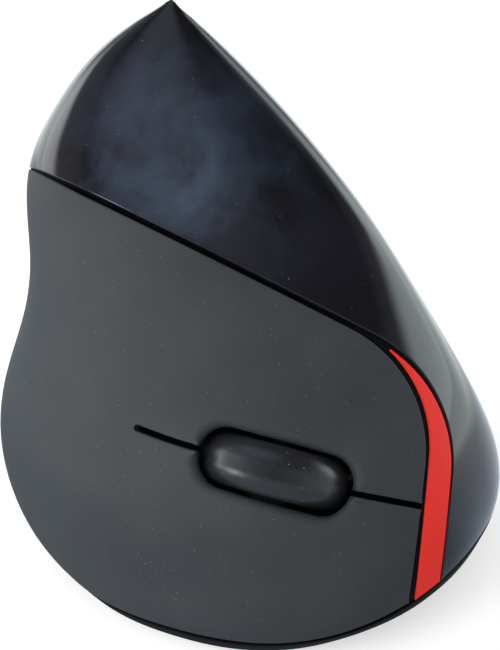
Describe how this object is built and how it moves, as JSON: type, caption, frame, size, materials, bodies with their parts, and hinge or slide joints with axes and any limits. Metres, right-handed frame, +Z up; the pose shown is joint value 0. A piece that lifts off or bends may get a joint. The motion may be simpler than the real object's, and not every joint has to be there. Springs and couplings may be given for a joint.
{
  "type": "vertical ergonomic mouse",
  "caption": "Right-handed vertical computer mouse with a tall leaning fin, matte finger buttons around a scroll wheel, a glossy thumb shell and a red accent strip.",
  "frame": {"origin": "on the table, under the middle of the body's outline", "axes": "+Z up, +Y the way the fingers point, +X toward the finger side"},
  "size_m": [0.0656, 0.0782, 0.0795],
  "materials": {
    "gloss": "high-gloss moulded",
    "soft_touch": "soft-touch matte coat",
    "accent": "satin moulded",
    "base_black": "fine texture",
    "glide": "slick polymer",
    "inner_plastic": "plain moulded",
    "board": "solder mask",
    "component": "plain moulded",
    "wheel_rubber": "smooth semi-gloss",
    "thumb_key": "satin moulded",
    "lens": "clear moulded",
    "cell": "plain jacket",
    "spring_metal": "plated",
    "screw_steel": "zinc plated",
    "ribbon": "flat lead",
    "slider": "fine texture"
  },
  "bodies": {
    "housing": {"gloss_shell": "gloss", "finger_panel": "soft_touch", "accent_strip": "accent", "base_plate": "base_black", "glide_feet": "glide", "inner_frame": "inner_plastic", "button_board": "board", "upper_switch": "component", "lower_switch": "component", "middle_switch": "component", "thumb_board": "board", "thumb_switches": "component", "main_board": "board", "radio_parts": "component", "sensor_chip": "component", "sensor_lens": "lens", "sensor_led": "lens", "battery_cells": "cell", "battery_contacts": "spring_metal", "power_switch_case": "spring_metal", "shell_screws": "screw_steel", "board_screws": "screw_steel", "frame_screws": "screw_steel", "ribbon_cable": "ribbon"},
    "upper_button": {"upper_button": "soft_touch"},
    "lower_button": {"lower_button": "soft_touch"},
    "wheel_carrier": {"wheel_carrier": "inner_plastic", "scroll_encoder": "component"},
    "wheel": {"wheel_tyre": "wheel_rubber", "wheel_hub": "inner_plastic"},
    "forward_button": {"forward_button": "thumb_key"},
    "back_button": {"back_button": "thumb_key"},
    "power_slider": {"power_slider": "slider"},
    "battery_door": {"battery_door": "base_black"}
  },
  "joints": [
    {"name": "upper_press", "type": "hinge", "parent": "housing", "child": "upper_button", "pos_m": [0.02554, -0.00624, 0.03364], "axis": [-0.6239, -0.0054, 0.7815], "range_deg": [0, 1.1], "stiffness_Nm_per_rad": 1, "springref_deg": -0.69},
    {"name": "lower_press", "type": "hinge", "parent": "housing", "child": "lower_button", "pos_m": [0.02525, -0.00638, 0.0334], "axis": [-0.3603, 0.1029, 0.9271], "range_deg": [0, 1.1], "stiffness_Nm_per_rad": 1, "springref_deg": -0.69},
    {"name": "wheel_click", "type": "slide", "parent": "housing", "child": "wheel_carrier", "axis": [-0.7332, -0.3419, -0.5878], "range_m": [0, 0.0005], "stiffness_N_per_m": 1200, "springref_m": -0.0004},
    {"name": "wheel_spin", "type": "hinge", "parent": "wheel_carrier", "child": "wheel", "pos_m": [0.01731, 0.01283, 0.0272], "axis": [-0.6239, -0.0054, 0.7815], "continuous": true},
    {"name": "forward_press", "type": "slide", "parent": "housing", "child": "forward_button", "axis": [1, 0, 0], "range_m": [0, 0.0006], "stiffness_N_per_m": 900, "springref_m": -0.0004},
    {"name": "back_press", "type": "slide", "parent": "housing", "child": "back_button", "axis": [1, 0, 0], "range_m": [0, 0.0006], "stiffness_N_per_m": 900, "springref_m": -0.0004},
    {"name": "power_slide", "type": "slide", "parent": "housing", "child": "power_slider", "axis": [0, 1, 0], "range_m": [0, 0.002]},
    {"name": "door_swing", "type": "hinge", "parent": "housing", "child": "battery_door", "pos_m": [-0.00741, -0.02118, 0.0008], "axis": [-1, 0, 0], "range_deg": [0, 70]}
  ]
}
